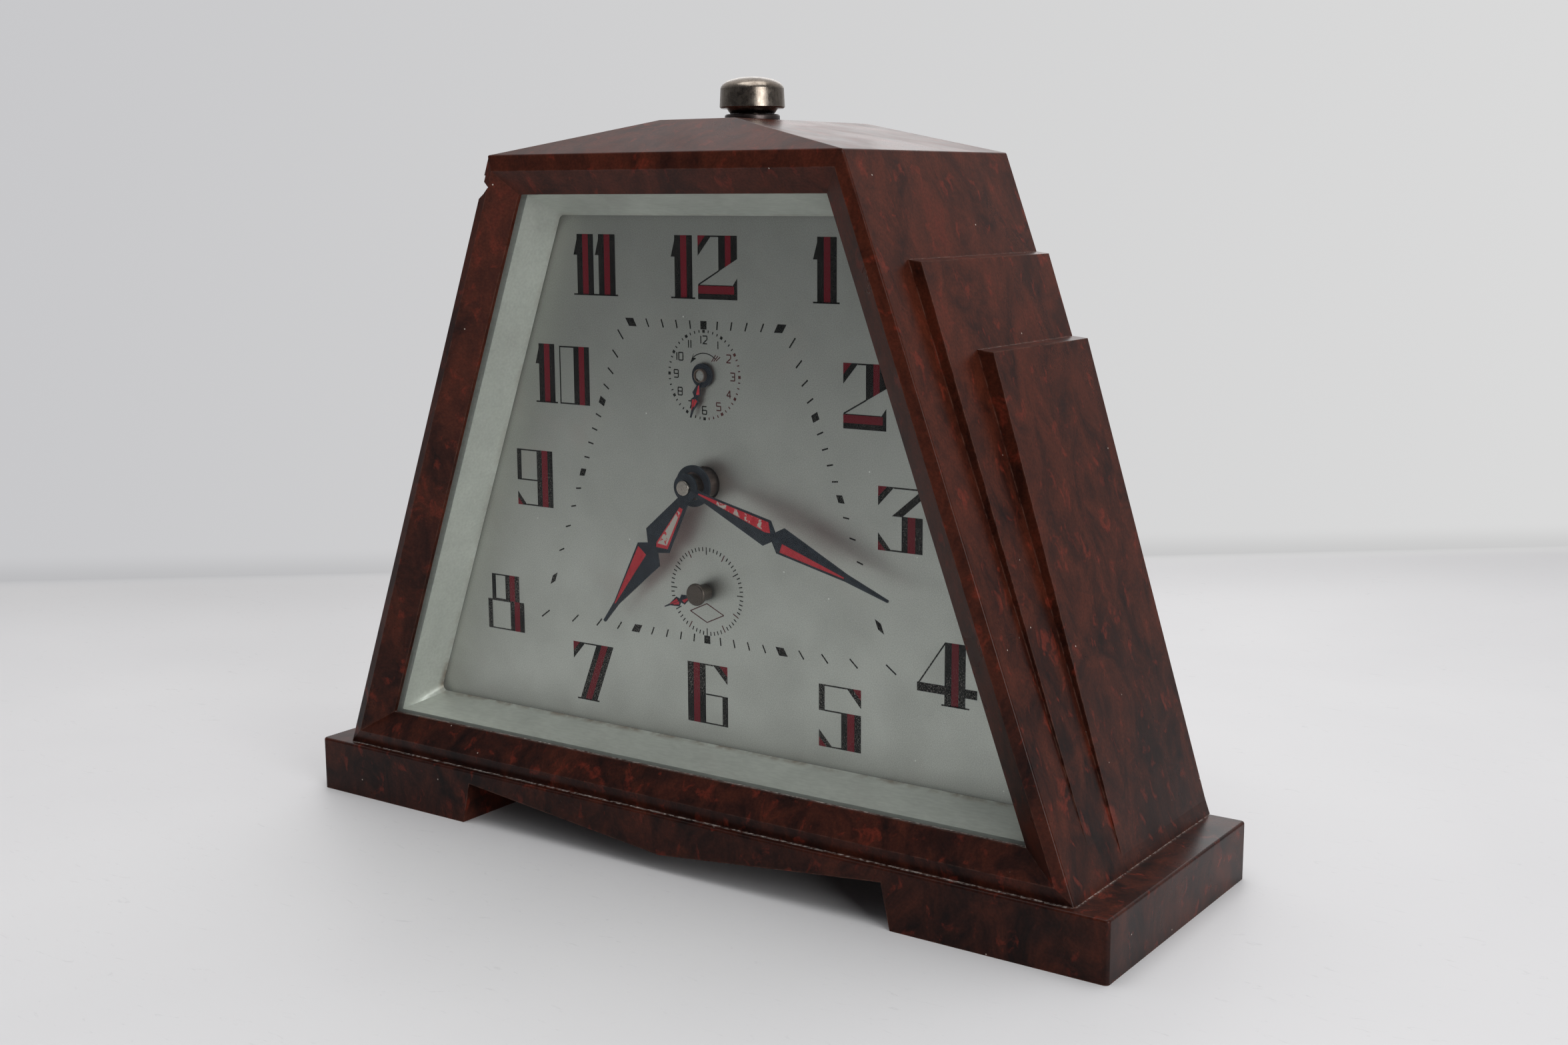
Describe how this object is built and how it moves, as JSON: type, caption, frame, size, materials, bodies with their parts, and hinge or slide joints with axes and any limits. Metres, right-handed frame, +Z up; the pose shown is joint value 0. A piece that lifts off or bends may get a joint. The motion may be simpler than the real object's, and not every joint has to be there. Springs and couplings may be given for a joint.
{
  "type": "mantel alarm clock",
  "caption": "Wind-up Art Deco alarm clock: sloping stepped moulded case on a footed base, glazed trapezoid dial with minute, hour, seconds and alarm hands, stop knob on the roof.",
  "frame": {"origin": "on the table, in the middle of the clock's whole width and depth, winding keys included", "axes": "+Z up, the dial faces -Y, +X to the right as seen from the front"},
  "size_m": [0.18, 0.0714, 0.1443],
  "materials": {
    "bakelite": "glossy, marbled dark red-brown",
    "clear_glass": "clear flat glass",
    "reflector_paint": "satin silver-white",
    "dial_silver": "fine-grained silvered",
    "blued_steel": "blue-black enamel with red",
    "nickel": "worn nickel",
    "brass": "lacquered brass",
    "steel": "bare steel",
    "spring_steel": "tempered blue steel"
  },
  "bodies": {
    "clock_case": {"case": "bakelite", "glass": "clear_glass", "reflector": "reflector_paint", "dial": "dial_silver", "front_plate": "brass", "back_plate": "brass", "motion_stud": "steel", "plate_pillars": "steel", "pillar_nuts": "steel", "cover_posts": "brass", "back_cover": "steel", "cover_screws": "nickel", "bell": "steel", "click_studs": "steel", "knob_collar": "nickel", "time_mainspring": "spring_steel", "alarm_mainspring": "spring_steel", "hairspring": "spring_steel"},
    "minute_arbor": {"minute_hand": "blued_steel", "hand_nut": "nickel", "centre_arbor": "steel", "cannon_pinion": "brass", "time_set_knob": "nickel"},
    "hour_pipe": {"hour_hand": "blued_steel", "hour_wheel": "brass"},
    "minute_wheel": {"minute_wheel": "brass"},
    "alarm_wheel": {"alarm_wheel": "brass"},
    "alarm_setting": {"alarm_arbor": "steel", "alarm_hand": "blued_steel", "alarm_set_knob": "nickel"},
    "centre_wheel": {"centre_wheel": "brass"},
    "third_wheel": {"third_wheel": "brass"},
    "seconds_arbor": {"fourth_wheel": "brass", "seconds_hand": "blued_steel"},
    "escape_wheel": {"escape_wheel": "brass"},
    "pallet_fork": {"pallet_fork": "steel"},
    "balance_wheel": {"balance_wheel": "brass"},
    "regulator": {"regulator": "brass"},
    "time_great_wheel": {"time_great_wheel": "brass"},
    "time_winding": {"time_winding_arbor": "steel", "time_ratchet": "steel", "time_key": "nickel"},
    "time_click": {"time_click": "steel"},
    "alarm_great_wheel": {"alarm_great_wheel": "brass"},
    "alarm_winding": {"alarm_winding_arbor": "steel", "alarm_ratchet": "steel", "alarm_key": "nickel"},
    "alarm_click": {"alarm_click": "steel"},
    "alarm_escape_wheel": {"alarm_escape_wheel": "brass"},
    "alarm_hammer": {"alarm_hammer": "steel"},
    "stop_knob": {"stop_knob": "nickel", "stem_clip": "steel"},
    "stop_lever": {"stop_lever": "steel"}
  },
  "joints": [
    {"name": "minute_turn", "type": "hinge", "parent": "clock_case", "child": "minute_arbor", "pos_m": [0, 0, 0.0705], "axis": [0, 1, 0], "continuous": true},
    {"name": "hour_turn", "type": "hinge", "parent": "clock_case", "child": "hour_pipe", "pos_m": [0, 0, 0.0705], "axis": [0, 1, 0], "continuous": true},
    {"name": "minute_wheel_turn", "type": "hinge", "parent": "clock_case", "child": "minute_wheel", "pos_m": [-0.00884, 0, 0.06166], "axis": [0, 1, 0], "continuous": true},
    {"name": "alarm_wheel_turn", "type": "hinge", "parent": "clock_case", "child": "alarm_wheel", "pos_m": [0, 0, 0.0905], "axis": [0, 1, 0], "continuous": true},
    {"name": "alarm_set_turn", "type": "hinge", "parent": "clock_case", "child": "alarm_setting", "pos_m": [0, 0, 0.0905], "axis": [0, 1, 0], "continuous": true},
    {"name": "seconds_turn", "type": "hinge", "parent": "clock_case", "child": "seconds_arbor", "pos_m": [0, 0, 0.0501], "axis": [0, 1, 0], "continuous": true},
    {"name": "third_wheel_turn", "type": "hinge", "parent": "clock_case", "child": "third_wheel", "pos_m": [0.00826, 0, 0.05984], "axis": [0, 1, 0], "continuous": true},
    {"name": "centre_wheel_turn", "type": "hinge", "parent": "clock_case", "child": "centre_wheel", "pos_m": [0, 0, 0.0705], "axis": [0, 1, 0], "continuous": true},
    {"name": "time_great_wheel_turn", "type": "hinge", "parent": "clock_case", "child": "time_great_wheel", "pos_m": [-0.0175, 0, 0.0705], "axis": [0, 1, 0], "continuous": true},
    {"name": "escape_wheel_turn", "type": "hinge", "parent": "clock_case", "child": "escape_wheel", "pos_m": [-0.0075, 0, 0.04513], "axis": [0, 1, 0], "continuous": true},
    {"name": "pallet_swing", "type": "hinge", "parent": "clock_case", "child": "pallet_fork", "pos_m": [-0.0132, 0, 0.044], "axis": [0, 1, 0], "range_deg": [-4, 4], "stiffness_Nm_per_rad": 0.0002},
    {"name": "balance_swing", "type": "hinge", "parent": "clock_case", "child": "balance_wheel", "pos_m": [-0.0225, 0, 0.0422], "axis": [0, 1, 0], "range_deg": [-150, 150], "stiffness_Nm_per_rad": 0.000015},
    {"name": "regulator_swing", "type": "hinge", "parent": "clock_case", "child": "regulator", "pos_m": [-0.0225, 0, 0.0422], "axis": [0, 1, 0], "range_deg": [-20, 20]},
    {"name": "time_winding_turn", "type": "hinge", "parent": "clock_case", "child": "time_winding", "pos_m": [-0.0175, 0, 0.0705], "axis": [0, 1, 0], "range_deg": [-1800, 0]},
    {"name": "time_click_swing", "type": "hinge", "parent": "clock_case", "child": "time_click", "pos_m": [-0.0251, 0, 0.0675], "axis": [0, 1, 0], "range_deg": [-10, 0], "stiffness_Nm_per_rad": 0.0005},
    {"name": "alarm_winding_turn", "type": "hinge", "parent": "clock_case", "child": "alarm_winding", "pos_m": [0.024, 0, 0.078], "axis": [0, 1, 0], "range_deg": [-1440, 0]},
    {"name": "alarm_click_swing", "type": "hinge", "parent": "clock_case", "child": "alarm_click", "pos_m": [0.0316, 0, 0.075], "axis": [0, 1, 0], "range_deg": [0, 10], "stiffness_Nm_per_rad": 0.0005},
    {"name": "alarm_great_wheel_turn", "type": "hinge", "parent": "clock_case", "child": "alarm_great_wheel", "pos_m": [0.024, 0, 0.078], "axis": [0, 1, 0], "continuous": true},
    {"name": "alarm_escape_wheel_turn", "type": "hinge", "parent": "clock_case", "child": "alarm_escape_wheel", "pos_m": [0.0175, 0, 0.0904], "axis": [0, 1, 0], "continuous": true},
    {"name": "hammer_swing", "type": "hinge", "parent": "clock_case", "child": "alarm_hammer", "pos_m": [0.0115, 0, 0.096], "axis": [0, 1, 0], "range_deg": [-10, 4], "stiffness_Nm_per_rad": 0.003},
    {"name": "stop_knob_lift", "type": "slide", "parent": "clock_case", "child": "stop_knob", "axis": [0, 0, 1], "range_m": [0, 0.003]},
    {"name": "stop_lever_swing", "type": "hinge", "parent": "clock_case", "child": "stop_lever", "pos_m": [0.014, 0, 0.107], "axis": [0, 1, 0], "range_deg": [0, 9.8]}
  ],
  "couplings": [
    {"joint": "hour_turn", "follows": "minute_turn", "ratio": 0.083333},
    {"joint": "minute_wheel_turn", "follows": "minute_turn", "ratio": -0.33333},
    {"joint": "alarm_wheel_turn", "follows": "minute_turn", "ratio": -0.083333},
    {"joint": "third_wheel_turn", "follows": "seconds_turn", "ratio": -0.13333},
    {"joint": "centre_wheel_turn", "follows": "seconds_turn", "ratio": 0.016667},
    {"joint": "time_great_wheel_turn", "follows": "seconds_turn", "ratio": -0.0027778},
    {"joint": "escape_wheel_turn", "follows": "seconds_turn", "ratio": -8},
    {"joint": "alarm_escape_wheel_turn", "follows": "alarm_great_wheel_turn", "ratio": -6},
    {"joint": "stop_lever_swing", "follows": "stop_knob_lift", "rad_per_m": 56}
  ]
}
